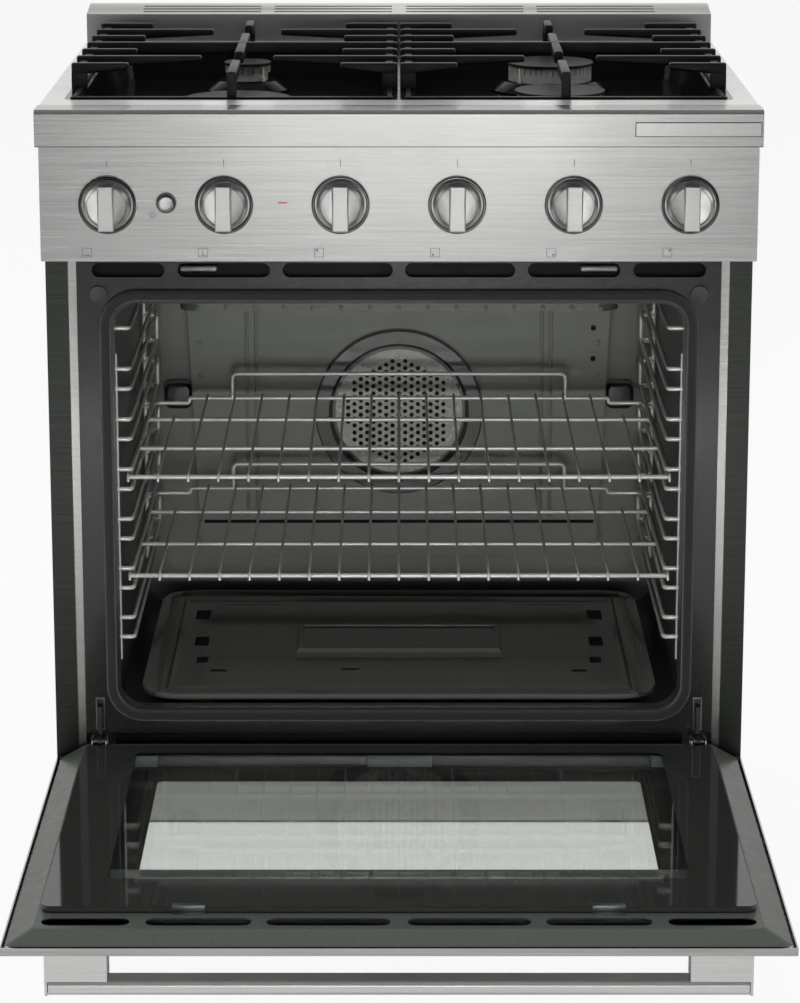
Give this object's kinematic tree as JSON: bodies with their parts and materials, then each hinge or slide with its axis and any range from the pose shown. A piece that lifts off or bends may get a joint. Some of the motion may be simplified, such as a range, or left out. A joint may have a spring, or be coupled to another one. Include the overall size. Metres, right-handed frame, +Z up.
{
  "type": "freestanding gas range",
  "caption": "Freestanding gas range with a drop-down oven door shown open, wire racks, cast grates over sealed burners, turning knobs and a louvred back guard.",
  "frame": {"origin": "on the floor, under the middle of the range with its door open", "axes": "+Z up, +Y to the back wall, +X to the right seen from the front"},
  "size_m": [0.76, 1.144, 0.954],
  "materials": {
    "stainless": "brushed along x",
    "dark_steel": "satin",
    "black_enamel": "gloss vitreous enamel",
    "grey_enamel": "speckled vitreous enamel",
    "cast_iron": "matt enamelled",
    "galvanised": "zinc spangle",
    "chrome_wire": "bright nickel chrome wire",
    "knob_metal": "satin metal",
    "burner_aluminium": "bead-blasted casting",
    "brass": "machined",
    "ceramic": "glazed",
    "gasket": "woven glass fibre",
    "wool": "mineral wool",
    "glass": "clear with black border",
    "dark_plastic": "moulded",
    "red_lens": "moulded"
  },
  "bodies": {
    "range_body": {"base_frame": "galvanised", "rear_panel": "galvanised", "kick_plate": "stainless", "levelling_legs": "stainless", "front_trim": "stainless", "trim_plate": "stainless", "control_panel": "stainless", "back_guard": "stainless", "front_frame": "black_enamel", "oven_liner": "grey_enamel", "oven_insulation": "wool", "oven_gasket": "gasket", "rack_guides": "chrome_wire", "oven_floor_panel": "grey_enamel", "bake_burner": "dark_steel", "broil_burner": "dark_steel", "fan_baffle": "grey_enamel", "fan_motor": "galvanised", "oven_lamps": "glass", "cooktop_deck": "stainless", "burner_pan": "black_enamel", "burner_bases": "burner_aluminium", "burner_heads": "burner_aluminium", "burner_caps": "cast_iron", "igniters": "ceramic", "gas_manifold": "dark_steel", "burner_valves": "brass", "gas_tubes": "burner_aluminium", "oven_switches": "dark_plastic", "terminal_box": "dark_plastic", "cover_screws": "dark_steel", "knob_bezels": "knob_metal", "indicator_lens": "red_lens", "hinge_receivers": "galvanised", "side_panel_left": "stainless", "side_panel_right": "stainless"},
    "oven_door": {"door_skin": "stainless", "door_liner": "black_enamel", "door_glass_outer": "glass", "door_glass_inner": "glass", "glass_clips": "dark_steel", "door_hinges": "galvanised", "handle_bar": "stainless", "handle_posts": "stainless"},
    "rack_upper": {"rack_upper": "chrome_wire"},
    "rack_lower": {"rack_lower": "chrome_wire"},
    "grate_left": {"grate_left": "cast_iron"},
    "grate_right": {"grate_right": "cast_iron"},
    "fan_wheel": {"fan_wheel": "burner_aluminium"},
    "light_button": {"light_button": "knob_metal"},
    "knob_oven_mode": {"knob_oven_mode": "knob_metal"},
    "knob_oven_heat": {"knob_oven_heat": "knob_metal"},
    "knob_rear_left": {"knob_rear_left": "knob_metal"},
    "knob_front_left": {"knob_front_left": "knob_metal"},
    "knob_front_right": {"knob_front_right": "knob_metal"},
    "knob_rear_right": {"knob_rear_right": "knob_metal"},
    "valve_stem_rear_left": {"valve_stem_rear_left": "dark_steel"},
    "valve_stem_front_left": {"valve_stem_front_left": "dark_steel"},
    "valve_stem_front_right": {"valve_stem_front_right": "dark_steel"},
    "valve_stem_rear_right": {"valve_stem_rear_right": "dark_steel"}
  },
  "joints": [
    {"name": "door_hinge", "type": "hinge", "parent": "range_body", "child": "oven_door", "pos_m": [0, -0.0355, 0.2115], "axis": [-1, 0, 0], "range_deg": [0, 90]},
    {"name": "rack_upper_slide", "type": "slide", "parent": "range_body", "child": "rack_upper", "axis": [0, 1, 0], "range_m": [-0.3, 0]},
    {"name": "rack_lower_slide", "type": "slide", "parent": "range_body", "child": "rack_lower", "axis": [0, 1, 0], "range_m": [-0.3, 0]},
    {"name": "grate_left_lift", "type": "slide", "parent": "range_body", "child": "grate_left", "axis": [0, 0, 1], "range_m": [0, 0.12]},
    {"name": "grate_right_lift", "type": "slide", "parent": "range_body", "child": "grate_right", "axis": [0, 0, 1], "range_m": [0, 0.12]},
    {"name": "knob_oven_mode_turn", "type": "hinge", "parent": "range_body", "child": "knob_oven_mode", "pos_m": [-0.3055, -0.078, 0.813], "axis": [0, 1, 0], "range_deg": [0, 300]},
    {"name": "knob_oven_heat_turn", "type": "hinge", "parent": "range_body", "child": "knob_oven_heat", "pos_m": [-0.1833, -0.078, 0.813], "axis": [0, 1, 0], "range_deg": [0, 300]},
    {"name": "valve_rear_left_turn", "type": "hinge", "parent": "range_body", "child": "valve_stem_rear_left", "pos_m": [-0.0611, -0.053, 0.813], "axis": [0, -1, 0], "range_deg": [0, 240]},
    {"name": "knob_rear_left_push", "type": "slide", "parent": "valve_stem_rear_left", "child": "knob_rear_left", "axis": [0, 1, 0], "range_m": [0, 0.0035], "stiffness_N_per_m": 400},
    {"name": "valve_front_left_turn", "type": "hinge", "parent": "range_body", "child": "valve_stem_front_left", "pos_m": [0.0611, -0.053, 0.813], "axis": [0, -1, 0], "range_deg": [0, 240]},
    {"name": "knob_front_left_push", "type": "slide", "parent": "valve_stem_front_left", "child": "knob_front_left", "axis": [0, 1, 0], "range_m": [0, 0.0035], "stiffness_N_per_m": 400},
    {"name": "valve_front_right_turn", "type": "hinge", "parent": "range_body", "child": "valve_stem_front_right", "pos_m": [0.1833, -0.053, 0.813], "axis": [0, -1, 0], "range_deg": [0, 240]},
    {"name": "knob_front_right_push", "type": "slide", "parent": "valve_stem_front_right", "child": "knob_front_right", "axis": [0, 1, 0], "range_m": [0, 0.0035], "stiffness_N_per_m": 400},
    {"name": "valve_rear_right_turn", "type": "hinge", "parent": "range_body", "child": "valve_stem_rear_right", "pos_m": [0.3055, -0.053, 0.813], "axis": [0, -1, 0], "range_deg": [0, 240]},
    {"name": "knob_rear_right_push", "type": "slide", "parent": "valve_stem_rear_right", "child": "knob_rear_right", "axis": [0, 1, 0], "range_m": [0, 0.0035], "stiffness_N_per_m": 400},
    {"name": "light_button_push", "type": "slide", "parent": "range_body", "child": "light_button", "axis": [0, 1, 0], "range_m": [0, 0.002], "stiffness_N_per_m": 300},
    {"name": "fan_spin", "type": "hinge", "parent": "range_body", "child": "fan_wheel", "pos_m": [0, 0.447, 0.475], "axis": [0, 1, 0], "continuous": true}
  ]
}
